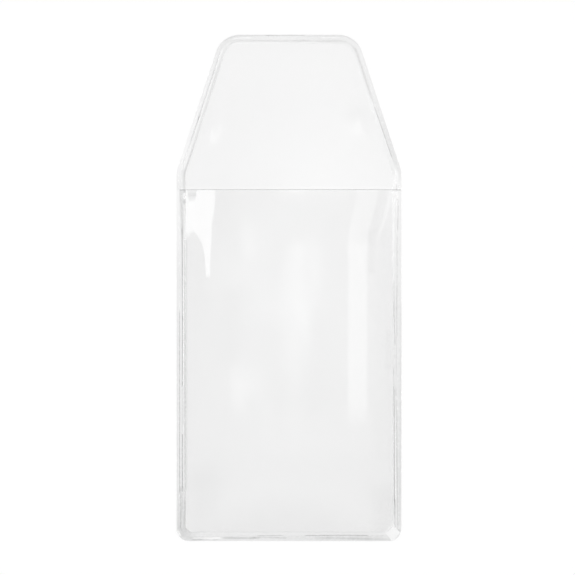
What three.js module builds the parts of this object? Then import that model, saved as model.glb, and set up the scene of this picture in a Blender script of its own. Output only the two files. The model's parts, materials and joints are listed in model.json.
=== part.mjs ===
// A clear vinyl sleeve for a one-ounce bullion bar, empty and lying on its back.
//
// Two films make it. The back film is the long one: it runs past the mouth of the pocket and
// tapers into a tuck flap. The front film is shorter. One die welds both films together along
// the sides and the bottom, cuts them out and presses its line on round the flap.
// Units are millimetres. +X is right, +Y runs from the bottom weld to the flap, +Z faces up,
// and the back of the sleeve lies on z = 0.

import * as THREE from 'three';

// Outline
const sleeveWidth = 38.1;
const pocketLength = 59.4; // bottom edge to mouth
const gussetLength = 3.1; // mouth to shoulders, where the sides are still straight
const taperLength = 23.1; // shoulders to the end of the flap
const flapEndWidth = 22.9; // between the sharp corners, before rounding
const bottomCornerRadius = 2.1;
const shoulderRadius = 3.0;
const flapCornerRadius = 4.2;

// Films
const filmThickness = 0.2;
const pillowRise = 1.5; // how far the front film stands up in the middle
const mouthRise = 1.2; // and in the middle of the mouth
const pillowSidePower = 2.5; // higher makes the film steeper beside the welds
const bottomRamp = 14; // length over which the pillow rises from the bottom weld
const mouthRamp = 10; // length over which it sinks again towards the mouth

// Die line: a cut edge, a flat flange, a pressed groove and a bead of squeezed film
const dieWidth = 1.6;
const leastInnerRadius = 1.2; // of the die line's inner edge
const flangeWidth = 0.36;
const grooveWidth = 0.44; // of the groove's floor
const wallRun = 0.12; // width of each slope between flange, groove and bead
const edgeThickness = 0.12; // left at the cut edge
const weldFlange = 0.34; // thicknesses where two films are fused
const weldFloor = 0.16;
const weldBead = 0.52;
const borderFloor = 0.1; // thicknesses where one film is pressed
const borderBead = 0.3;

// Fold: the flap's film bends round this line
const foldGap = 0.3; // left between the two halves of the long film
const foldClearance = 0.3; // between the folded flap and the front film
const weldEnd = 0.05; // length of the step from one film to two at the mouth

// Steps of the rounded parts
const cornerSteps = 8;
const shoulderSteps = 3;
const acrossSteps = 16;
const alongSteps = 20;

// Worked out from the values above
const totalLength = pocketLength + gussetLength + taperLength;
const halfWidth = sleeveWidth / 2;
const bottomY = -totalLength / 2;
const mouthY = bottomY + pocketLength;
const shoulderY = mouthY + gussetLength;
const flapEndY = shoulderY + taperLength;
const foldY = mouthY + gussetLength / 2;
const foldAxisHeight = (2 * filmThickness + pillowRise + borderBead + foldClearance) / 2;

const clearVinyl = new THREE.MeshStandardMaterial({
  name: 'clear vinyl film', color: 0xf1f3f3, roughness: 0.12, metalness: 0,
  transparent: true, opacity: 0.4, side: THREE.DoubleSide,
});
const weldedVinyl = new THREE.MeshStandardMaterial({
  name: 'die-pressed vinyl', color: 0xd9dcdc, roughness: 0.2, metalness: 0,
  transparent: true, opacity: 0.6, side: THREE.DoubleSide,
});

function piece(name, geometry, material) {
  const mesh = new THREE.Mesh(geometry, material);
  mesh.name = name;
  return mesh;
}

// A corner of an outline: where its straight sides would meet, its radius and its steps.
const corner = (x, y, radius = 0, steps = 0) => ({ at: new THREE.Vector2(x, y), radius, steps });

// Outline points along the corners, each rounded corner as an arc that touches both sides.
function roundedPath(corners) {
  return corners.flatMap(({ at, radius, steps }, i) => {
    if (steps === 0) return [at.clone()];
    const back = corners[i - 1].at.clone().sub(at).normalize();
    const ahead = corners[i + 1].at.clone().sub(at).normalize();
    const half = Math.acos(back.dot(ahead)) / 2;
    const middle = back.clone().add(ahead).normalize();
    const centre = at.clone().addScaledVector(middle, radius / Math.sin(half));
    const start = at.clone().addScaledVector(back, radius / Math.tan(half)).sub(centre);
    const turn = Math.PI - 2 * half;
    const side = Math.sign(start.cross(middle.clone().negate()));
    return Array.from({ length: steps + 1 }, (_, k) =>
      start.clone().rotateAround(new THREE.Vector2(), (side * turn * k) / steps).add(centre));
  });
}

// The same corners moved inwards by the die line's width. The outline runs anticlockwise,
// so inwards is to the left, and an end of the outline moves straight to its left.
function insetCorners(corners) {
  const left = (a, b) => {
    const along = b.clone().sub(a).normalize();
    return new THREE.Vector2(-along.y, along.x);
  };
  return corners.map(({ at, radius, steps }, i) => {
    const before = i > 0 ? left(corners[i - 1].at, at) : null;
    const after = i < corners.length - 1 ? left(at, corners[i + 1].at) : null;
    const normal = (before ?? after).clone().add(after ?? before).normalize();
    const reach = dieWidth / normal.dot(after ?? before);
    const moved = at.clone().addScaledVector(normal, reach);
    return { at: moved, radius: Math.max(radius - dieWidth, leastInnerRadius), steps };
  });
}

// The die line's upper surface, as [distance from the cut edge, height], from the edge to the
// film or films that it holds.
function dieSection(flange, floor, bead, inner) {
  const grooveStart = flangeWidth + wallRun;
  const grooveEnd = grooveStart + grooveWidth;
  const beadStart = grooveEnd + wallRun;
  const beadWidth = dieWidth - beadStart;
  return [
    [0, edgeThickness],
    [wallRun, flange],
    [flangeWidth, flange],
    [grooveStart, floor],
    [grooveEnd, floor],
    [beadStart, inner + (bead - inner) * 0.7],
    [beadStart + beadWidth * 0.3, bead],
    [beadStart + beadWidth * 0.65, inner + (bead - inner) * 0.6],
    [dieWidth, inner],
  ];
}
const weldSection = dieSection(weldFlange, weldFloor, weldBead, 2 * filmThickness);
const borderSection = dieSection(filmThickness, borderFloor, borderBead, filmThickness);

// A closed band between an outer and an inner path with as many points, flat underneath, whose
// upper surface at each point follows that point's section.
function dieBand(outer, inner, sectionAt) {
  const loops = outer.map((edge, i) => {
    const point = ([distance, height]) => {
      const at = edge.clone().lerp(inner[i], distance / dieWidth);
      return [at.x, at.y, height];
    };
    return [point([0, 0]), ...sectionAt(edge).map(point), point([dieWidth, 0])];
  });
  const size = loops[0].length;
  const index = [];
  for (let i = 0; i < loops.length - 1; i += 1) {
    for (let j = 0; j < size; j += 1) {
      const next = (j + 1) % size;
      const [a, b] = [i * size + j, i * size + next];
      index.push(a, a + size, b + size, a, b + size, b);
    }
  }
  const contour = [[0, 0], ...sectionAt(outer[0]), [dieWidth, 0]]
    .map(([distance, height]) => new THREE.Vector2(distance, height));
  const last = (loops.length - 1) * size;
  for (const [a, b, c] of THREE.ShapeUtils.triangulateShape(contour, [])) {
    index.push(b, a, c, last + a, last + b, last + c);
  }
  const geometry = new THREE.BufferGeometry();
  geometry.setAttribute('position', new THREE.Float32BufferAttribute(loops.flat(2), 3));
  geometry.setIndex(index);
  return geometry;
}

const flatFilm = (outline) =>
  new THREE.ExtrudeGeometry(new THREE.Shape(outline), { depth: filmThickness, bevelEnabled: false });

const smooth = (t) => {
  const k = THREE.MathUtils.clamp(t, 0, 1);
  return k * k * (3 - 2 * k);
};

// Height of the pillow above the flat film, for a place across (-1 at the left weld, 1 at the
// right) and a distance below the mouth: steep beside the welds, flat in the middle.
function pillowHeight(across, belowMouth, length) {
  const side = 1 - Math.abs(across) ** pillowSidePower;
  const fromBottom = Math.min((length - belowMouth) / bottomRamp, 1);
  const bottom = 1 - (1 - fromBottom) ** 2;
  const towardsMouth = 1 - smooth(belowMouth / mouthRamp);
  return side * bottom * (pillowRise + (mouthRise - pillowRise) * towardsMouth);
}

// The front film: rows across the pocket from the mouth to the bottom weld, each as wide as
// the space between the welds there, with the film's thickness measured upwards.
function pillowFilm(leftSide) {
  const straight = leftSide[1].y - leftSide[0].y;
  const upper = Array.from({ length: alongSteps }, (_, k) =>
    new THREE.Vector2(leftSide[0].x, leftSide[0].y + (straight * k) / alongSteps));
  const rows = [...upper, ...leftSide.slice(1)];
  const length = rows[0].y - rows.at(-1).y;
  const position = [];
  for (const lift of [filmThickness, 2 * filmThickness]) {
    for (const { x, y } of rows) {
      for (let j = 0; j <= acrossSteps; j += 1) {
        const across = (2 * j) / acrossSteps - 1;
        position.push(-x * across, y, lift + pillowHeight(across, mouthY - y, length));
      }
    }
  }
  const width = acrossSteps + 1;
  const layer = rows.length * width;
  const index = [];
  const wall = (a, b) => index.push(a, b, b + layer, a, b + layer, a + layer);
  for (let i = 0; i < rows.length - 1; i += 1) {
    for (let j = 0; j < acrossSteps; j += 1) {
      const a = i * width + j;
      const [b, c, d] = [a + 1, a + width, a + width + 1];
      index.push(a, b, d, a, d, c);
      index.push(layer + a, layer + d, layer + b, layer + a, layer + c, layer + d);
    }
    wall(i * width, (i + 1) * width);
    wall((i + 1) * width + acrossSteps, i * width + acrossSteps);
  }
  for (let j = 0; j < acrossSteps; j += 1) {
    wall(j + 1, j);
    wall(layer - width + j, layer - width + j + 1);
  }
  const geometry = new THREE.BufferGeometry();
  geometry.setAttribute('position', new THREE.Float32BufferAttribute(position, 3));
  geometry.setIndex(index);
  return geometry;
}

// Pocket: both outlines run down the left side, round the bottom and up the right side.
const pocketTopY = foldY - foldGap / 2;
const pocketCorners = [
  corner(-halfWidth, pocketTopY),
  corner(-halfWidth, mouthY),
  corner(-halfWidth, mouthY - weldEnd),
  corner(-halfWidth, bottomY, bottomCornerRadius, cornerSteps),
  corner(halfWidth, bottomY, bottomCornerRadius, cornerSteps),
  corner(halfWidth, mouthY - weldEnd),
  corner(halfWidth, mouthY),
  corner(halfWidth, pocketTopY),
];
const pocketOuter = roundedPath(pocketCorners);
const pocketInner = roundedPath(insetCorners(pocketCorners));
const bottomLeftEnd = 3 + cornerSteps; // last point of the first rounded corner
const underMouth = ({ y }) => (y > mouthY - weldEnd / 2 ? borderSection : weldSection);
const leftWeld = [new THREE.Vector2(pocketInner[1].x, mouthY), ...pocketInner.slice(3, bottomLeftEnd + 1)];

// Flap: its outlines run up the right side, round the end and down the left side.
const flapRootY = foldY + foldGap / 2;
const flapCorners = [
  corner(halfWidth, flapRootY),
  corner(halfWidth, shoulderY, shoulderRadius, shoulderSteps),
  corner(flapEndWidth / 2, flapEndY, flapCornerRadius, cornerSteps),
  corner(-flapEndWidth / 2, flapEndY, flapCornerRadius, cornerSteps),
  corner(-halfWidth, shoulderY, shoulderRadius, shoulderSteps),
  corner(-halfWidth, flapRootY),
];
const flapOuter = roundedPath(flapCorners);
const flapInner = roundedPath(insetCorners(flapCorners));

const pocket = new THREE.Group();
pocket.add(
  piece('back_film', flatFilm(pocketInner), clearVinyl),
  piece('front_film', pillowFilm(leftWeld), clearVinyl),
  piece('pocket_weld', dieBand(pocketOuter, pocketInner, underMouth), weldedVinyl),
);

// The flap hangs in a group that stands on the fold's axis and turns about its X axis.
const flap = new THREE.Group();
flap.position.set(0, foldY, foldAxisHeight);
flap.add(
  piece('flap_film', flatFilm(flapInner), clearVinyl),
  piece('flap_border', dieBand(flapOuter, flapInner, () => borderSection), weldedVinyl),
);
for (const mesh of flap.children) {
  mesh.geometry.translate(0, -foldY, -foldAxisHeight);
}

const sleeve = new THREE.Group();
sleeve.add(pocket, flap);
export default sleeve;
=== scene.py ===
# %% [markdown]
# # A clear vinyl sleeve for a small bullion bar
# The sleeve is two sheets of clear, soft PVC film. The long one backs the pocket and runs on
# as a tapered tuck flap; the short one is the pocket's front. A heated die welds them along
# three sides, tears them off at the outline and presses its line on round the flap.
# This lesson dresses the measured model: each piece is worked out with numpy as a closed thin
# solid. Clear film is a hard subject, because all that shows of it is what it mirrors, the
# little light that it holds back, and the pressed line round its edge.

# %% Load the measured model
import json
import math

import bmesh
import bpy
import numpy as np
from mathutils import Matrix, Vector


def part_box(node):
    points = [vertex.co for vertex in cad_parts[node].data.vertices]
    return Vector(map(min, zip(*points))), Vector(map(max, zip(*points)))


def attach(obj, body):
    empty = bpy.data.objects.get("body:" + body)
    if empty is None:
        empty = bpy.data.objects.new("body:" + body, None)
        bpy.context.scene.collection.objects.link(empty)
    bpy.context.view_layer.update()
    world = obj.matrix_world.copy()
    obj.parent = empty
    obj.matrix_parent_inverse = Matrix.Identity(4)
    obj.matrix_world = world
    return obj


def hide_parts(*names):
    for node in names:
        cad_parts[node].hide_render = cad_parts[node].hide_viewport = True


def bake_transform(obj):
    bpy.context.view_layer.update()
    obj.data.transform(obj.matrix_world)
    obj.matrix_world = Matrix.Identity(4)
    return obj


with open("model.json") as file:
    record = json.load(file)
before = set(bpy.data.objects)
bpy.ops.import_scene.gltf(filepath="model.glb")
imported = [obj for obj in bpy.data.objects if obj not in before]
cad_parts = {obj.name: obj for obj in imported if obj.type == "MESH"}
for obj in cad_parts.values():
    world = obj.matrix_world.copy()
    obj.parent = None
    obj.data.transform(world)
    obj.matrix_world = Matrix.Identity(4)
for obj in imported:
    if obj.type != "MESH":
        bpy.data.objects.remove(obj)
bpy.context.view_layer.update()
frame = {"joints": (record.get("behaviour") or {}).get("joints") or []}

MM = 0.001

# %% [markdown]
# ## Sizes
# Every place comes from the measured model, so a new piece fits where the old solid was.
# Only the flap's end and the rounding of the corners are written here, because a box doesn't
# tell them.

# %% Read the sizes off the model
weld_low, weld_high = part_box("pocket_weld")
_, film_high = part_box("back_film")
_, front_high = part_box("front_film")
_, border_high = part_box("flap_border")
fold = next(j for j in frame["joints"] if j["name"] == "flap_fold")

half_width = weld_high.x
bottom_y = weld_low.y
mouth_y = front_high.y
end_y = border_high.y
shoulder_y = 2 * fold["pos_m"][1] - mouth_y
die_width = weld_high.x - film_high.x
film = film_high.z
pillow_rise = front_high.z - 2 * film
half_end = 11.45 * MM
corner_radius = 2.1 * MM
flap_radius = 4.2 * MM
inner_radius = 1.2 * MM
print("film", round(film / MM, 3), "mm thick, die line", round(die_width / MM, 2), "mm wide")

# %% [markdown]
# ## Camera
# The photograph looks straight down on the sleeve with its flap up. A long lens keeps the
# sides parallel, and the distance follows from how much of the table the frame covers.

# %% Look straight down
FRAME_PX = 575
SLEEVE_PX = 225.6
CENTRE_PX = (289.0, 287.85)
LENS_MM, SENSOR_MM = 200.0, 36.0

metres_per_px = 2 * half_width / SLEEVE_PX
aim_x = (FRAME_PX / 2 - CENTRE_PX[0]) * metres_per_px
aim_y = (CENTRE_PX[1] - FRAME_PX / 2) * metres_per_px
distance = FRAME_PX * metres_per_px * LENS_MM / SENSOR_MM
camera_data = bpy.data.cameras.new("camera")
camera_data.lens = LENS_MM
camera_data.sensor_width = SENSOR_MM
camera_data.clip_start = 0.01
camera = bpy.data.objects.new("camera", camera_data)
camera.location = (aim_x, aim_y, distance)
bpy.context.scene.collection.objects.link(camera)
bpy.context.scene.camera = camera
print("camera", round(distance, 3), "m above the sleeve")

# %% [markdown]
# ## Small helpers
# One function turns a hex colour into the linear numbers that shaders want, and one adds a
# node with its settings and links. The others turn arrays of points into a closed mesh.

# %% Colours and nodes
def linear(hex_colour):
    """sRGB hex to linear RGBA: c / 12.92 near black, ((c + 0.055) / 1.055) to the power 2.4 above."""
    c = np.array([int(hex_colour[i : i + 2], 16) for i in (1, 3, 5)]) / 255
    c = np.where(c <= 0.04045, c / 12.92, ((c + 0.055) / 1.055) ** 2.4)
    return (*c.tolist(), 1.0)


def add_node(tree, kind, inputs=None, **settings):
    """Adds a node, sets its properties, and gives each input a value or a link from another node."""
    node = tree.nodes.new(kind)
    for name, value in settings.items():
        setattr(node, name, value)
    for name, value in (inputs or {}).items():
        socket = node.inputs[name]
        if isinstance(value, bpy.types.NodeSocket):
            tree.links.new(value, socket)
        else:
            socket.default_value = value
    return node


def new_material(name):
    """A material with an empty node tree, and that tree."""
    material = bpy.data.materials.new(name)
    material.use_nodes = True
    material.node_tree.nodes.clear()
    return material, material.node_tree


# %% Meshes from arrays
SHARP_DEGREES = 40


def smooth_step(t):
    """0 below 0, 1 above 1 and 3t^2 - 2t^3 between."""
    t = np.clip(t, 0, 1)
    return t * t * (3 - 2 * t)


def quads(a, b, c, d):
    """One row of four corner numbers for each face, from four arrays of the same shape."""
    return np.stack([np.ravel(x) for x in (a, b, c, d)], axis=1)


def make_piece(name, points, faces, material, tone_and_painted_light=None):
    """A mesh object at the origin, smooth but for edges whose faces meet at more than SHARP_DEGREES.
    The last argument is one number for each point: above 0 the film is drawn darker, as painted
    shade and on the flap as a greyer tone, and below 0 paler, as a painted highlight."""
    mesh = bpy.data.meshes.new(name)
    mesh.from_pydata(points.reshape(-1, 3), [], faces)
    mesh.materials.append(material)
    mesh.shade_smooth()
    mesh.set_sharp_from_angle(angle=math.radians(SHARP_DEGREES))
    value = np.zeros(len(mesh.vertices)) if tone_and_painted_light is None else np.ravel(tone_and_painted_light)
    mesh.attributes.new("tone_and_painted_light", "FLOAT", "POINT").data.foreach_set("value", value)
    solid = bmesh.new()
    solid.from_mesh(mesh)
    volume = solid.calc_volume(signed=True) / MM**3
    solid.free()
    piece = bpy.data.objects.new(name, mesh)
    bpy.context.scene.collection.objects.link(piece)
    triangles = sum(len(p.vertices) - 2 for p in mesh.polygons)
    print(name, triangles, "triangles, signed volume", round(volume, 1), "cubic mm")
    return piece


# %% [markdown]
# ## Table and light
# The photograph's background is pure white and the film on it is a shade greyer, because each
# face of the film mirrors the dimmer room above. So the table and its raised rim shine white
# to the camera and in mirrors, while the world overhead is a soft grey. To all other rays the
# table is matt grey paint, which takes the sleeve's shadow.

# %% Table with a raised rim
TABLE_RADIUS, RIM_RADIUS, RIM_HEIGHT = 1.6, 2.1, 0.5
RINGS, SPOKES = 12, 64
UNDER_SLEEVE = 0.02 * MM

# A flat disc, then a quarter circle up to the rim. The disc lies a hair lower than the sleeve, so
# that no two faces share a height.
disc = np.concatenate([[0.0], np.linspace(0.1, TABLE_RADIUS, RINGS)])
rim = np.sin(np.linspace(0.1, math.pi / 2, 10))
radius = np.concatenate([disc, TABLE_RADIUS + (RIM_RADIUS - TABLE_RADIUS) * rim])
height = np.concatenate([0 * disc, RIM_HEIGHT * (1 - np.sqrt(1 - rim**2))]) - UNDER_SLEEVE
turn = np.linspace(0, 2 * math.pi, SPOKES, endpoint=False)
across, up = np.outer(radius, np.cos(turn)), np.outer(radius, np.sin(turn))
table_points = np.stack([across, up, np.repeat(height[:, None], SPOKES, axis=1)], axis=-1)
ring, spoke = np.meshgrid(np.arange(len(radius) - 1) * SPOKES, np.arange(SPOKES), indexing="ij")
ahead = (spoke + 1) % SPOKES
table_faces = quads(ring + spoke, ring + SPOKES + spoke, ring + SPOKES + ahead, ring + ahead)

# %% Its white, and the paint under that
TABLE_GLOW = 0.88

table_white, tree = new_material("matt white table")
path = add_node(tree, "ShaderNodeLightPath").outputs
seen = {0: path["Is Camera Ray"], 1: path["Is Glossy Ray"]}
seen = add_node(tree, "ShaderNodeMath", seen, operation="MAXIMUM").outputs[0]
seen = {0: seen, 1: path["Is Transmission Ray"]}
seen = add_node(tree, "ShaderNodeMath", seen, operation="MAXIMUM").outputs[0]
strength = add_node(tree, "ShaderNodeMath", {0: seen, 1: TABLE_GLOW}, operation="MULTIPLY").outputs[0]
glow = add_node(tree, "ShaderNodeEmission", {"Color": linear("#ffffff"), "Strength": strength})
paint = add_node(tree, "ShaderNodeBsdfDiffuse", {"Color": linear("#6a6a6a")})
both = add_node(tree, "ShaderNodeAddShader", {0: glow.outputs[0], 1: paint.outputs[0]})
add_node(tree, "ShaderNodeOutputMaterial", {"Surface": both.outputs[0]})
table = make_piece("studio_table", table_points, table_faces, table_white)

# %% [markdown]
# ## World and lamps
# The room overhead is dim. It has a wide soft glow in it, a small one in the middle of that,
# and a lower one that the film's bottom slope mirrors. The lamps are flat panels: two big
# ones low at the sides for plain light on everything, and three high ones that only matter as
# reflections. The near-flat film shows the long one as a pale band down its right side, the
# square one as a flame in the upper left corner and the tiny one as a bright line beside the
# right end of the mouth.

# %% World
DIM_ROOM = 0.154

world = bpy.data.worlds.new("studio")
bpy.context.scene.world = world
world.use_nodes = True
tree = world.node_tree
tree.nodes.clear()
towards = add_node(tree, "ShaderNodeTexCoord").outputs["Generated"]


def soft_glow(centre, half_size, amount):
    """amount x (1 - smooth step of d), d being how far the direction's x and y are from the centre,
    in half sizes."""
    away = add_node(tree, "ShaderNodeVectorMath", {0: towards, 1: (*centre, 0)}, operation="SUBTRACT")
    scale = (1 / half_size[0], 1 / half_size[1], 0)
    away = add_node(tree, "ShaderNodeVectorMath", {0: away.outputs[0], 1: scale}, operation="MULTIPLY")
    d = add_node(tree, "ShaderNodeVectorMath", {0: away.outputs[0]}, operation="LENGTH")
    ramp = {"Value": d.outputs["Value"], "To Min": amount, "To Max": 0.0}
    return add_node(tree, "ShaderNodeMapRange", ramp, interpolation_type="SMOOTHSTEP").outputs["Result"]


wide = soft_glow((0.0, 0.002), (0.865, 0.215), 0.523)
small = soft_glow((0.0104, 0.0111), (0.0365, 0.0768), 0.72)
lower = soft_glow((0.0, -0.235), (0.7, 0.2), 0.4)
total = wide
for part in (small, lower, DIM_ROOM):
    total = add_node(tree, "ShaderNodeMath", {0: total, 1: part}, operation="ADD").outputs[0]
sky = add_node(tree, "ShaderNodeBackground", {"Color": linear("#ffffff"), "Strength": total})
add_node(tree, "ShaderNodeOutputWorld", {"Surface": sky.outputs[0]})

# %% Lamps
def panel(name, place, size, radiance):
    """A flat lamp at place that faces the sleeve. Its power is pi times its radiance times its area."""
    data = bpy.data.lights.new(name, "AREA")
    data.shape = "RECTANGLE"
    data.size, data.size_y = size
    data.energy = math.pi * radiance * size[0] * size[1]
    lamp = bpy.data.objects.new(name, data)
    lamp.location = place
    back = Vector(place).normalized()
    side = Vector((0, 1, 0)).cross(back).normalized()
    lamp.rotation_euler = Matrix((side, back.cross(side), back)).transposed().to_euler()
    bpy.context.scene.collection.objects.link(lamp)


panel("left_panel", (-0.95, 0.15, 0.75), (0.8, 0.8), 4.5)
panel("right_panel", (0.95, -0.15, 0.75), (0.8, 0.8), 4.5)
panel("band_strip", (0.27, 0.145, 1.0), (0.11, 0.424), 0.7)
panel("corner_panel", (-0.375, 0.1225, 1.0), (0.1675, 0.199), 1.49)
panel("edge_panel", (0.399, 0.0485, 1.0), (0.024, 0.009), 1.2)

# %% [markdown]
# ## Clear vinyl
# Plasticised PVC film, calendered between polished rolls. It mirrors a few hundredths of the
# light at each face, more at a glancing angle, and lets the rest through nearly unchanged.
# The rolls leave a faint orange peel, and handling leaves a breath of haze.
# Under the die the film is squeezed and chilled: there its skin is duller, and every step in
# it bends the light behind it aside. A straight-through shader can't bend light, so a number
# on each point holds painted shade where that bent light would leave the film darker and a
# painted highlight where it would leave it brighter, and on the flap a greyer tone.

# %% The clear part of the film
FILM_IOR = 1.53
HAZE_MM, HAZE_SPREAD = 6, (0.8, 1.25)


def clear_film(tree, place, tint, dull, peel_mm, peel_depth):
    """What passes straight through, mixed with a mirror whose share is r + (1 - r)(1 - cos)^5, r being
    ((n - 1) / (n + 1)) squared. peel_mm and peel_depth are the size and depth of the orange peel in mm,
    and dull is the mirror's roughness, which drifts over patches of HAZE_MM."""
    bare = ((FILM_IOR - 1) / (FILM_IOR + 1)) ** 2
    peel = {"Vector": place, "Scale": 1 / (peel_mm * MM), "Detail": 1.0}
    peel = add_node(tree, "ShaderNodeTexNoise", peel).outputs["Fac"]
    skin = add_node(tree, "ShaderNodeBump", {"Height": peel, "Distance": peel_depth * MM})
    patches = {"Vector": place, "Scale": 1 / (HAZE_MM * MM), "Detail": 3.0}
    patches = add_node(tree, "ShaderNodeTexNoise", patches).outputs["Fac"]
    dulled = {"Value": patches, "To Min": dull * HAZE_SPREAD[0], "To Max": dull * HAZE_SPREAD[1]}
    dulled = add_node(tree, "ShaderNodeMapRange", dulled).outputs["Result"]

    facing = add_node(tree, "ShaderNodeLayerWeight", {"Blend": 0.5}).outputs["Facing"]
    glance = add_node(tree, "ShaderNodeMath", {0: facing, 1: 5.0}, operation="POWER").outputs[0]
    share = {0: glance, 1: 1 - bare, 2: bare}
    share = add_node(tree, "ShaderNodeMath", share, operation="MULTIPLY_ADD").outputs[0]
    through = add_node(tree, "ShaderNodeBsdfTransparent", {"Color": linear(tint)}).outputs[0]
    mirror = {"Color": linear("#ffffff"), "Roughness": dulled, "Normal": skin.outputs["Normal"]}
    mirror = add_node(tree, "ShaderNodeBsdfGlossy", mirror).outputs[0]
    return add_node(tree, "ShaderNodeMixShader", {0: share, 1: through, 2: mirror}).outputs[0]


# %% Painted shade and painted highlight over it
BREAK_MM, BREAK_SPREAD = 0.5, (0.85, 1.15)
NOISE_LOW, NOISE_HIGH = 0.3, 0.7
PAINTED_SHADE_ROUGHNESS = 0.35


def film_with_painted_light(tree, place, clear, painted_shade_hex):
    """The clear film with a grey painted shade over it where the point's number is above 0, and a white
    painted highlight where it is below 0. The painted shade isn't even: noise breaks it up at about
    BREAK_MM."""
    tone_and_painted_light = add_node(tree, "ShaderNodeAttribute", attribute_name="tone_and_painted_light").outputs["Fac"]
    broken = {"Vector": place, "Scale": 1 / (BREAK_MM * MM), "Detail": 2.0}
    broken = add_node(tree, "ShaderNodeTexNoise", broken).outputs["Fac"]
    broken = {"Value": broken, "From Min": NOISE_LOW, "From Max": NOISE_HIGH,
              "To Min": BREAK_SPREAD[0], "To Max": BREAK_SPREAD[1]}
    broken = add_node(tree, "ShaderNodeMapRange", broken).outputs["Result"]
    dark = {0: tone_and_painted_light, 1: broken}
    dark = add_node(tree, "ShaderNodeMath", dark, operation="MULTIPLY", use_clamp=True).outputs[0]
    pale = {0: tone_and_painted_light, 1: -1.0}
    pale = add_node(tree, "ShaderNodeMath", pale, operation="MULTIPLY", use_clamp=True).outputs[0]
    # The painted shade is a grey, rough sheet mixed over the clear film.
    painted_shade = {"Base Color": linear(painted_shade_hex), "Roughness": PAINTED_SHADE_ROUGHNESS, "IOR": FILM_IOR}
    painted_shade = add_node(tree, "ShaderNodeBsdfPrincipled", painted_shade).outputs[0]

    # The painted highlight is white and scatters light both ways, so the white table lights it from
    # below as well.
    white = {"Color": linear("#ffffff")}
    back = add_node(tree, "ShaderNodeBsdfDiffuse", white).outputs[0]
    forth = add_node(tree, "ShaderNodeBsdfTranslucent", white).outputs[0]
    painted_highlight = add_node(tree, "ShaderNodeMixShader", {0: 0.5, 1: back, 2: forth}).outputs[0]
    painted_shade_mix = add_node(tree, "ShaderNodeMixShader", {0: dark, 1: clear, 2: painted_shade}).outputs[0]
    return add_node(tree, "ShaderNodeMixShader", {0: pale, 1: painted_shade_mix, 2: painted_highlight}).outputs[0]


# %% The film as it is rolled, and as the die leaves it
def vinyl(name, tint, painted_shade_hex, **skin):
    """A material of clear film with its painted shade and highlight, both patterned in the piece's own
    coordinates.
    """
    material, tree = new_material(name)
    place = add_node(tree, "ShaderNodeTexCoord").outputs["Object"]
    clear = clear_film(tree, place, tint, **skin)
    surface = film_with_painted_light(tree, place, clear, painted_shade_hex)
    add_node(tree, "ShaderNodeOutputMaterial", {"Surface": surface})
    return material


film_skin = {"dull": 0.05, "peel_mm": 1.8, "peel_depth": 0.0008}
pressed_skin = {"dull": 0.09, "peel_mm": 0.35, "peel_depth": 0.0008}
# The grey 7d8080 is the colour of the painted shade.
film_vinyl = vinyl("calendered PVC film", "#fdfdfd", "#7d8080", **film_skin)
pressed_vinyl = vinyl("die pressed PVC", "#fdfdfd", "#7d8080", **pressed_skin)
for material in (film_vinyl, pressed_vinyl):
    print(material.name, "has", len(material.node_tree.nodes), "nodes")

# %% [markdown]
# ## Outline
# The die's outline is straight lines joined by arcs. Two lines run side by side: the cut edge,
# and the inner edge of the die line, a fixed width further in. Both get the same number of
# points, so that any line between them is a mix of the two.

# %% Rounded outlines
POCKET_STEP, FLAP_STEP = 0.3 * MM, 0.25 * MM
LEAST_STEPS, ARC_STEPS = 8, 18


def left_of(a, b):
    """The unit vector to the left of the way from a to b."""
    along = (b - a) / np.linalg.norm(b - a)
    return np.array([-along[1], along[0]])


def inset(corners, radii):
    """The corners moved die_width to the left. Their radii shrink by as much, but not under
    inner_radius."""
    lefts = [left_of(a, b) for a, b in zip(corners, corners[1:])]
    moved = []
    for i, at in enumerate(corners):
        before, after = lefts[max(i - 1, 0)], lefts[min(i, len(lefts) - 1)]
        middle = (before + after) / np.linalg.norm(before + after)
        moved.append(at + middle * die_width / (middle @ after))
    return moved, [max(r - die_width, inner_radius) if r else 0 for r in radii]


def trace(corners, radii, counts, arc_steps):
    """Points along the corners. A radius r makes a corner an arc that touches both its sides: its
    centre lies r / sin(half angle) from the corner. Straight runs are cut into the given counts."""
    runs, start = [], corners[0]
    for i in range(1, len(corners)):
        arc = corners[i][None]
        if radii[i]:
            at = corners[i]
            back = (corners[i - 1] - at) / np.linalg.norm(corners[i - 1] - at)
            ahead = (corners[i + 1] - at) / np.linalg.norm(corners[i + 1] - at)
            half = math.acos(back @ ahead) / 2
            centre = at + (back + ahead) / np.linalg.norm(back + ahead) * radii[i] / math.sin(half)
            first = at + back * radii[i] / math.tan(half) - centre
            angle = np.linspace(0, math.pi - 2 * half, arc_steps + 1)[:, None]
            arc = centre + first * np.cos(angle) + np.array([-first[1], first[0]]) * np.sin(angle)
        along = np.linspace(0, 1, counts[i - 1], endpoint=False)[:, None]
        runs.append(start + (arc[0] - start) * along)
        runs.append(arc[:-1])
        start = arc[-1]
    return np.concatenate(runs + [start[None]])


def both_edges(corners, radii, step):
    """The cut edge and the inner edge of the die line, point for point, about step apart."""
    corners = [np.array(c, float) for c in corners]
    lengths = [float(np.linalg.norm(b - a)) for a, b in zip(corners, corners[1:])]
    counts = [max(LEAST_STEPS, round(length / step)) for length in lengths]
    lines = (corners, radii), inset(corners, radii)
    return [trace(*line, counts, ARC_STEPS) for line in lines]


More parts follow.
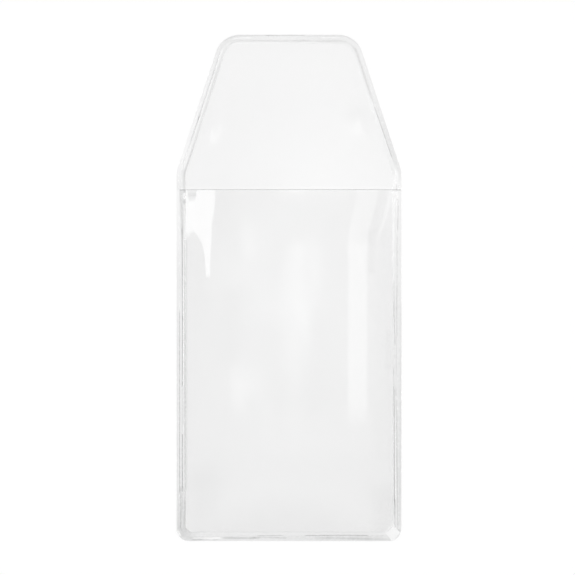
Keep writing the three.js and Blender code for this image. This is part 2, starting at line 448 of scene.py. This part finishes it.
# %% The pocket's outline and the flap's
# A corner with no radius, a little below the mouth, packs the rows closer there.
near_mouth = mouth_y - 0.4 * MM
pocket_corners = [(-half_width, mouth_y), (-half_width, near_mouth), (-half_width, bottom_y)]
pocket_corners += [(-x, y) for x, y in reversed(pocket_corners)]
pocket_radii = [0, 0, corner_radius, corner_radius, 0, 0]
pocket_edge, pocket_inside = both_edges(pocket_corners, pocket_radii, POCKET_STEP)
flap_corners = [(half_width, mouth_y), (half_width, shoulder_y), (half_end, end_y)]
flap_corners += [(-x, y) for x, y in reversed(flap_corners)]
flap_radii = [0] + [flap_radius] * 4 + [0]
flap_edge, flap_inside = both_edges(flap_corners, flap_radii, FLAP_STEP)
print("outline points:", len(pocket_edge), "round the pocket and", len(flap_edge), "round the flap")

# %% [markdown]
# ## Marks
# Creases, cuts, pressed lines and painted shade are all strokes: a short table of where each
# one starts and ends, how wide it is and how strong. One function adds them up, either over the
# flat sheet or over the straightened die line. On the die line the same number makes the relief
# and the painted shade or highlight over it; elsewhere the marks are painted shade and highlight only.

# %% Strokes, bumps and steps
FACET, FACET_SOFT = (17.5, -41.3, 1.17, 1.43), 0.12


def marks(p, q, rows, stretch=1.0):
    """Rows of (p0, q0, p1, q1, half width, amount) in mm. The sum of amount x exp(-(d / half width)^2),
    with d the distance to the line from (p0, q0) to (p1, q1). A stretch above 1 lets a stroke's ends
    fade along p."""
    p0, q0, p1, q1, half, amount = np.array(rows, float).T
    a, b = (p1 - p0) / stretch, q1 - q0
    u, v = (p[..., None] / MM - p0) / stretch, q[..., None] / MM - q0
    t = np.clip((u * a + v * b) / (a * a + b * b + 1e-9), 0, 1)
    return np.sum(amount * np.exp(-((u - t * a) ** 2 + (v - t * b) ** 2) / half**2), axis=-1)


def bumps(x, y, rows):
    """Rows of (x, y, half width w, half length l, height) in mm. The sum of
    height x exp(-(dx / w)^2 - (dy / l)^2)."""
    x0, y0, w, l, height = np.array(rows, float).T
    dx, dy = x[..., None] / MM - x0, y[..., None] / MM - y0
    return MM * np.sum(height * np.exp(-((dx / w) ** 2) - (dy / l) ** 2), axis=-1)


def rise(u, at, run):
    """A smooth step from 0 to 1 over the width run, centred on at."""
    return smooth_step((u - at) / run + 0.5)


def facet(x, y):
    """1 inside the small diamond that the die's corner leaves at the bottom right, and 0 outside:
    |x - x0| / half width + |y - y0| / half height < 1, with numbers from FACET in mm. The diamond
    is left plain and carries a painted highlight."""
    x0, y0, half_wide, half_high = FACET
    reach = np.abs(x / MM - x0) / half_wide + np.abs(y / MM - y0) / half_high
    return 1 - rise(reach, 1.0, FACET_SOFT)


# %% [markdown]
# ## Die line
# From the cut edge inwards the die leaves a flat flange, a pressed groove and a bead of
# squeezed film. The groove isn't quite parallel to the cut: the sheets crept under the die.

# %% Sweep the section round the outline
ACROSS, STROKE_STRETCH = 64, 6
CUT_AT, CUT_RUN = 0.06 * MM, 0.1 * MM
FLANK_RUN = 0.09 * MM
BEAD_END, BEAD_RUN = 1.52 * MM, 0.12 * MM
CREASE_DEPTH, RIDGE_SHARE, LEAST_THICKNESS = 0.07 * MM, 0.4, 0.04 * MM
CREASES_END, CREASES_RUN = 1.5 * MM, 0.2 * MM
CLEAR_RIM, CLEAR_RIM_RUN = 0.1 * MM, 0.12 * MM
BEAD_SHADE_RUN = 0.2 * MM
CORNER_PAINTED_HIGHLIGHT = 0.12


def die_line(edge, inside, levels, course, strokes, spots):
    """A closed band between the two edges. A share k of the way in, its points lie at
    edge + k (inside - edge). levels are the heights of cut edge, flange, groove, bead and film.
    course has rows of (distance along, groove's outer flank, its inner flank, painted shade up to
    there, painted shade on the bead). Each flank is a smooth step. The last two columns close the
    band underneath."""
    along = np.concatenate([[0], np.cumsum(np.linalg.norm(np.diff(edge, axis=0), axis=1))])[:, None]
    share = np.linspace(0, 1, ACROSS)
    u = share[None, :] * die_width
    at, *rows = np.array(course, float).T
    outer, inner, zone_shade, bead_shade = (np.interp(along / MM, at, row) for row in rows)
    # The groove wanders besides, in two slow waves of 0.02 and 0.01 mm.
    wander = 0.02 * np.sin(along / (1.9 * MM)) + 0.01 * np.sin(along / (2.7 * MM) + 1)
    cut, flange, groove, bead, sheet = levels
    past_cut = rise(u, CUT_AT, CUT_RUN)
    z = cut + (flange - cut) * past_cut
    z = z - (flange - groove) * rise(u, (outer + wander) * MM, FLANK_RUN)
    z = z + (bead - groove) * rise(u, (inner + wander) * MM, FLANK_RUN)
    z = z - (bead - sheet) * rise(u, BEAD_END, BEAD_RUN)

    # Strokes above 0 are creases cut into that, and those below 0 are low ridges on it. They end
    # with the bead, and the plain corner has none.
    flat = edge[:, None, :] + share[None, :, None] * (inside - edge)[:, None, :]
    pressed = marks(along, u - 0.5 * wander * MM, strokes, stretch=STROKE_STRETCH)
    depth = CREASE_DEPTH * np.clip(pressed, -RIDGE_SHARE, 1) * (1 - rise(u, CREASES_END, CREASES_RUN))
    z = np.maximum(z - depth, LEAST_THICKNESS)
    plain = facet(flat[..., 0], flat[..., 1])
    z = z + (cut + (sheet - cut) * past_cut - z) * plain

    # Painted shade by zones, with a clear rim at the cut, then the same strokes and the spots as
    # painted dark and pale lines.
    on_bead = rise(u, inner * MM, BEAD_SHADE_RUN)
    painted_shade_mix = zone_shade * rise(u, CLEAR_RIM, CLEAR_RIM_RUN) * (1 - on_bead) + bead_shade * on_bead
    painted_light = painted_shade_mix + pressed + marks(flat[..., 0], flat[..., 1], spots)
    # The plain corner gets a painted highlight in place of all that.
    painted_light = painted_light - (painted_light + CORNER_PAINTED_HIGHLIGHT) * plain

    top = np.concatenate([flat, z[..., None]], axis=-1)
    under = np.stack([top[:, -1], top[:, 0]], axis=1) * (1, 1, 0)
    points = np.concatenate([top, under], axis=1)
    n, m = points.shape[:2]
    i, j = np.meshgrid(np.arange(n - 1), np.arange(m), indexing="ij")
    k = (j + 1) % m
    faces = quads(i * m + j, (i + 1) * m + j, (i + 1) * m + k, i * m + k).tolist()
    faces += [list(range(m)), list(range((n - 1) * m, n * m))[::-1]]
    return points, faces, np.concatenate([painted_light, np.zeros((n, 2))], axis=1)


# %% [markdown]
# ## Weld and flap line
# Two tables steer each line. The course says where the groove's flanks run and how much
# painted shade each zone gets, at distances along the cut edge. The strokes are the fine creases,
# with painted shade or highlight along them: a start and an end, each as a distance along and a
# distance in from the edge, a half width and a strength.
# The weld fuses two films, so it stands higher than the line pressed into the flap's one.

# %% Weld round the pocket
# Distances run from the left end of the mouth, down, along the bottom and up the right side.
# The last two columns of the course are painted shade.
weld_course = [
    (0, 0.45, 0.95, 0.02, 0.19), (9, 0.56, 1.07, 0.06, 0.03), (14, 0.56, 1.07, 0.12, 0.02),
    (20, 0.56, 1.07, 0.11, 0.01), (50, 0.56, 1.07, 0.13, 0.21), (54, 0.5, 0.9, 0.18, 0.38),
    (58, 0.45, 0.75, 0.24, 0.35), (62, 0.42, 0.8, 0.2, 0.13), (72, 0.47, 0.95, 0.14, 0.12),
    (91, 0.47, 0.97, 0.24, 0.14), (97, 0.6, 1.1, 0.11, 0.1), (102, 0.7, 1.24, 0.16, 0.19),
    (120, 0.8, 1.27, 0.15, 0.17), (135, 0.86, 1.28, 0.13, 0.14), (147, 0.86, 1.25, 0.1, 0.04),
    (155, 0.8, 1.2, 0.06, 0.03),
]
weld_strokes = [
    (52, 1.296, 57, 1.08, 0.171, -0.14), (57.5, 0.585, 60.5, 0.583, 0.111, 0.04),
    (20, 0.247, 52, 0.215, 0.06, 0.05), (108, 0.93, 119, 0.992, 0.119, 0.15),
    (124, 0.948, 130, 0.938, 0.061, 0.08), (0, 0.716, 6.5, 1.044, 0.22, 0.23),
    (7, 1.014, 22, 1.129, 0.06, 0.64), (22, 1.108, 33, 1.071, 0.06, 0.7),
    (33, 1.031, 42, 1.063, 0.06, 0.14), (42, 1.088, 51, 1.036, 0.06, 0.62),
    (51, 0.8, 57.5, 0.74, 0.07, 0.3), (51, 0.5, 57.5, 0.45, 0.08, 0.1),
    (21, 0.539, 51, 0.593, 0.06, 0.39),
    (9.5, 1.281, 55, 1.781, 0.22, 0.23), (9, 1.253, 33, 1.226, 0.06, -0.34),
    (40.5, 1.187, 50, 1.267, 0.06, -0.21), (61.5, 0.559, 63.4, 0.581, 0.06, -0.22),
    (64, 0.399, 65, 0.519, 0.22, -0.2), (61.5, 0.257, 65, 0.297, 0.1, 0.22),
    (66.6, 0.582, 71.7, 0.552, 0.103, 0.26), (71.5, 0.678, 76.7, 0.586, 0.112, 0.14),
    (72.5, 0.938, 76, 0.992, 0.092, 0.22), (80.7, 1.024, 90.8, 1.041, 0.06, 0.42),
    (83.5, 0.601, 93.6, 0.307, 0.175, 0.1), (97.6, 1.132, 102, 1.146, 0.06, 0.72),
    (102, 1.232, 121, 1.339, 0.06, 0.53), (120.6, 1.339, 124.2, 1.387, 0.06, 0.19),
    (129, 1.169, 139, 1.371, 0.06, 0.21), (133.6, 1.362, 136, 1.359, 0.06, 0.17),
    (98, 0.653, 107, 0.844, 0.086, 0.18), (106, 0.676, 120.6, 1.014, 0.12, 0.1),
    (130.6, 0.848, 147, 0.813, 0.06, 0.21), (148.4, 0.703, 153, 0.62, 0.06, 0.28),
    (98, 1.082, 119.6, 0.989, 0.06, -0.34), (103.6, 1.626, 115.6, 1.653, 0.06, -1.5),
    (98, 0.368, 134.6, 0.051, 0.22, 0.07),
]
# Painted dark and pale marks by the two ends of the mouth and at the bottom corners, and a
# painted dark line along the cut across both films at the mouth, in mm from the middle.
weld_spots = [
    (-18.3, 16.55, -17.4, 16.55, 0.09, 0.35), (17.4, 16.55, 18.75, 16.55, 0.09, 0.45),
    (-17.58, 16.1, -17.58, 16.3, 0.22, 0.3), (-17.58, 15.5, -17.58, 15.7, 0.2, -0.9),
    (-17.62, 14.3, -17.62, 14.6, 0.22, 0.22), (18.3, 14.87, 18.3, 14.1, 0.1, -1.0),
    (17.9, 15.6, 17.0, 13.6, 0.5, -0.15), (17.85, -40.5, 18.77, -41.05, 0.07, 0.3),
    (-18.72, -41.2, -18.68, -41.35, 0.13, -1.2), (-18.52, -41.55, -18.42, -41.7, 0.11, -0.9),
]
pocket_levels = (0.1 * MM, 0.34 * MM, 0.16 * MM, weld_high.z, 2 * film)
swept = die_line(pocket_edge, pocket_inside, pocket_levels, weld_course, weld_strokes, weld_spots)
weld = make_piece("pocket_weld_line", *swept[:2], pressed_vinyl, swept[2])

# %% Line round the flap
# Distances run from the right end of the mouth, up round the flap and down to the left end.
# The last two columns of the course are painted shade.
border_course = [
    (0, 0.45, 0.95, 0.02, 0), (3, 0.42, 0.92, 0.13, 0.08), (6, 0.42, 0.92, 0.17, 0.06),
    (18, 0.5, 1.08, 0.08, 0.01), (26, 0.5, 1.1, 0.07, 0.05), (30, 0.5, 1.12, 0.11, 0.06),
    (40, 0.5, 1.12, 0.06, 0), (48, 0.5, 1, 0.12, 0), (51, 0.35, 0.75, 0.11, 0.13),
    (56, 0.4, 0.85, 0.07, 0.2), (70, 0.4, 0.82, 0, 0.15), (77, 0.42, 0.9, 0.11, 0.06),
]
border_strokes = [
    (26, 0.208, 35, 0.248, 0.077, 0.1), (41.5, 0.186, 49, 0.278, 0.06, 0.17),
    (6.2, 0.885, 14.5, 0.983, 0.067, 0.23), (17.5, 1.055, 25, 0.978, 0.22, 0.15),
    (35.7, 0.154, 41.5, 0.194, 0.06, 0.3), (29.8, 0.536, 32.2, 0.529, 0.06, -0.21),
    (45, 0.574, 47.2, 0.636, 0.107, -0.12), (29, 1.101, 35.5, 1.316, 0.211, 0.11),
    (35.5, 1.078, 48, 1.178, 0.171, 0.15), (32, 1.723, 35.2, 1.387, 0.179, -0.17),
    (51.8, 0.764, 55.2, 0.838, 0.06, 0.26), (55, 0.83, 63, 0.773, 0.105, 0.23),
    (63, 0.808, 67, 0.733, 0.06, 0.39), (67.5, 0.764, 71, 0.659, 0.06, 0.18),
    (51.8, 0.977, 71, 1.111, 0.158, -0.24), (66.5, 1.725, 75, 1.359, 0.22, 0.18),
    (0.3, 1.106, 2.6, 0.772, 0.22, -0.13),
]
flap_levels = (0.05 * MM, film, film / 2, border_high.z, film)
# A short painted dark line up from the right end of the mouth.
border_spots = [(18.17, 16.6, 18.17, 17.45, 0.06, 0.4)]
swept = die_line(flap_edge, flap_inside, flap_levels, border_course, border_strokes, border_spots)
border = make_piece("flap_border_line", *swept[:2], pressed_vinyl, swept[2])

# %% [markdown]
# ## Long sheet
# The back film and the flap are one sheet. It is a grid: rows across, each as wide as the
# space inside the die line at that height. The rows lie closest where the outline turns and
# at the mouth, where the film that the pocket covers gives way to the flap, which is drawn a
# little greyer.
# The sheet is lifted off the table by up to about a tenth of a millimetre here and there, and
# such shallow swells are what breaks a reflection into soft patches.

# %% A film as a closed grid
COLUMNS = 120
BELOW_MOUTH = [-0.3, -0.22, -0.16, -0.12, -0.09, -0.06, -0.04, -0.02]
ABOVE_MOUTH = [0.05, 0.09, 0.13, 0.17, 0.22, 0.28]

edges = np.concatenate([line[line[:, 0] > 0] for line in (pocket_inside, flap_inside)])
edges = edges[np.argsort(edges[:, 1], kind="stable")]
by_mouth = mouth_y + np.array(BELOW_MOUTH + ABOVE_MOUTH) * MM
levels = np.unique(np.round(np.concatenate([edges[:, 1], by_mouth]), 7))


def half_inside(y):
    """Half the space between the two sides of the die line at y."""
    return np.interp(y, edges[:, 1], edges[:, 0])


def film_solid(rows, top, under):
    """A closed film over the rows y, COLUMNS faces across. top and under give the heights of its
    two faces at (x, y)."""
    n, m = len(rows), COLUMNS + 1
    y = np.repeat(rows[:, None], m, axis=1)
    x = half_inside(y) * np.linspace(-1, 1, m)
    both = [np.stack([x, y, face(x, y)], axis=-1).reshape(-1, 3) for face in (top, under)]
    layer = n * m
    i, j = np.meshgrid(np.arange(n - 1), np.arange(m - 1), indexing="ij")
    a = i * m + j
    left, right = np.arange(n - 1) * m, np.arange(n - 1) * m + m - 1
    low, high = np.arange(m - 1), (n - 1) * m + np.arange(m - 1)
    faces = [
        quads(a, a + 1, a + m + 1, a + m),
        layer + quads(a, a + m, a + m + 1, a + 1),
        quads(left, left + m, left + m + layer, left + layer),
        quads(right + m, right, right + layer, right + m + layer),
        quads(low + 1, low, low + layer, low + 1 + layer),
        quads(high, high + 1, high + 1 + layer, high + layer),
    ]
    return np.concatenate(both), np.concatenate(faces).tolist()


# %% Back film and flap in one
SWELL_FADE = 3 * MM
# The flap is drawn a little greyer from just past the mouth, and a little less grey again towards its
# end.
FLAP_GREY, GREY_START, GREY_RUN = 0.034, mouth_y + 0.4 * MM, 0.3 * MM
END_CLEARER, CLEARER_AT, CLEARER_RUN = 0.014, 34 * MM, 8 * MM

long_swells = [
    (-8.01, 7.99, 1.75, 3.19, 0.022), (-11.06, 11.03, 3.34, 6.85, 0.046),
    (-7.78, -21.76, 2.54, 5.7, 0.08), (-10.66, -20.0, 2.18, 5.88, 0.081),
    (2.88, -10.21, 3.14, 7.15, 0.069), (3.7, 4.97, 4.42, 6.04, 0.048),
    (-5.22, -5.05, 8.66, 5.06, 0.062), (-4.8, 12.38, 6.93, 5.25, 0.051),
    (5.41, -3.11, 6.31, 15.61, 0.043), (-14.3, 27.1, 1.6, 2.0, 0.1), (12.34, 28.45, 2.0, 1.8, 0.045),
]


def lifted(x, y):
    """How far the long sheet is off the table: its swells, faded out over SWELL_FADE to the die
    line."""
    ends = np.minimum(y - levels[0], levels[-1] - y)
    inwards = np.minimum(half_inside(y) - np.abs(x), ends)
    return bumps(x, y, long_swells) * smooth_step(inwards / SWELL_FADE)


points, faces = film_solid(levels, lambda x, y: film + lifted(x, y), lifted)
flap_greying = FLAP_GREY * rise(points[:, 1], GREY_START, GREY_RUN)
flap_greying = flap_greying - END_CLEARER * rise(points[:, 1], CLEARER_AT, CLEARER_RUN)
on_top = points[:, 2] > film / 2
long_sheet = make_piece("long_film", points, faces, film_vinyl, flap_greying * on_top)

# %% [markdown]
# ## Front film
# The short sheet stands up like a shallow pillow between its welds, because the weld holds it
# a little short while the film keeps its curl. It buckles softly in the upper left corner.
# Its free edge at the mouth is a cut one, rounded over half the film's thickness.

# %% Pillow of the front film
MOUTH_RISE, BOTTOM_RAMP, MOUTH_RAMP, SIDE_POWER = 1.2 * MM, 14 * MM, 10 * MM, 2.5
BUCKLE_FADE = 2 * MM
ROUNDED_SHARE = 0.94

front_levels = levels[levels <= mouth_y + 1e-7]
buckles = [
    (-14.744, 19.648, 5.415, 5.655, -0.16), (-13.507, 0.936, 2.063, 7.093, 0.22),
    (-11.993, 14.433, 1.496, 2.45, 0.028), (-17.653, 16.192, 0.863, 7.383, -0.111),
    (-3.881, 7.15, 2.87, 2.77, -0.027),
]


def pillow(x, y):
    """Height above the flat film. Across it goes as 1 - |x / half width|^SIDE_POWER, and up from the
    bottom weld as a parabola, with a smooth fall towards the mouth. The buckles are faded out over
    BUCKLE_FADE to the welds."""
    half = half_inside(y)
    side = 1 - np.clip(np.abs(x) / half, 0, 1) ** SIDE_POWER
    bottom = 1 - (1 - np.clip((y - front_levels[0]) / BOTTOM_RAMP, 0, 1)) ** 2
    droop = 1 - smooth_step((mouth_y - y) / MOUTH_RAMP)
    crown = side * bottom * (pillow_rise + (MOUTH_RISE - pillow_rise) * droop)
    inwards = half - np.abs(x)
    return crown + bottom * bumps(x, y, buckles) * smooth_step(inwards / BUCKLE_FADE)


def half_thickness(y):
    """Half the film's thickness. A quarter circle rounds the last half thickness before the cut, and
    it stops at ROUNDED_SHARE of its radius, which leaves the cut a flat face."""
    t = ROUNDED_SHARE * np.clip((y - mouth_y) / (film / 2) + 1, 0, 1)
    return film / 2 * np.sqrt(1 - t * t)


# %% Cut edge of the front film, its painted shade and a painted highlight
FRONT_CORNER_PAINTED_HIGHLIGHT = 0.25

points, faces = film_solid(
    front_levels,
    lambda x, y: 1.5 * film + pillow(x, y) + half_thickness(y),
    lambda x, y: 1.5 * film + pillow(x, y) - half_thickness(y),
)
# Painted shade only: a dark line along the cut at the mouth, one along the left weld, and soft darker
# patches, most towards the bottom, the corners and the right side.
front_marks = [
    (-17.4, 16.6, 17.4, 16.6, 0.05, 0.85), (-16.9, 15.7, -15.9, 15.7, 0.4, 0.08),
    (-15, -41.5, 15, -41.5, 2.5, 0.017), (-14.5, -40, -14.5, -33, 3.5, 0.038),
    (16.5, -41, 16.5, -36, 3, 0.06), (16, -28, 16, 8, 2, 0.018), (14.8, 15.5, 14.8, 10, 1.6, 0.03),
    (-1, -18.5, 5, -18.5, 4.5, 0.018), (-17.38, 8, -17.38, -34, 0.16, 0.16),
    (12.3, 15.5, 12.3, 8.6, 1.7, 0.03), (13.8, 9, 13.8, 3, 0.7, 0.03),
    (-10.3, -2, -10.3, -12, 2.4, 0.016), (16.8, -7.5, 16.8, -13.5, 0.5, 0.035),
]
x, y = points[:, 0], points[:, 1]
# The diamond at the bottom right corner gets a painted highlight.
front_painted_light = marks(x, y, front_marks) - FRONT_CORNER_PAINTED_HIGHLIGHT * facet(x, y)
on_top = np.arange(len(points)) < len(points) / 2
front = make_piece("front_film_pillow", points, faces, film_vinyl, front_painted_light * on_top)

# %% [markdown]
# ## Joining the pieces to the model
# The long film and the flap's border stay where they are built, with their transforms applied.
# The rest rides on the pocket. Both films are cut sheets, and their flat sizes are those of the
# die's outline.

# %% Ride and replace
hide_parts("pocket_weld")
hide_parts("front_film")
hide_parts("back_film", "flap_film")
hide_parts("flap_border")
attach(weld, "pocket")
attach(front, "pocket")
for bending in (long_sheet, border):
    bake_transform(bending)

# %% [markdown]
# ## Settings
# A view ray can pass through many clear faces before it meets the table, so it is allowed
# plenty of them.

# %% Settings
scene = bpy.context.scene
scene.view_settings.view_transform = "Standard"
scene.cycles.transparent_max_bounces = 32
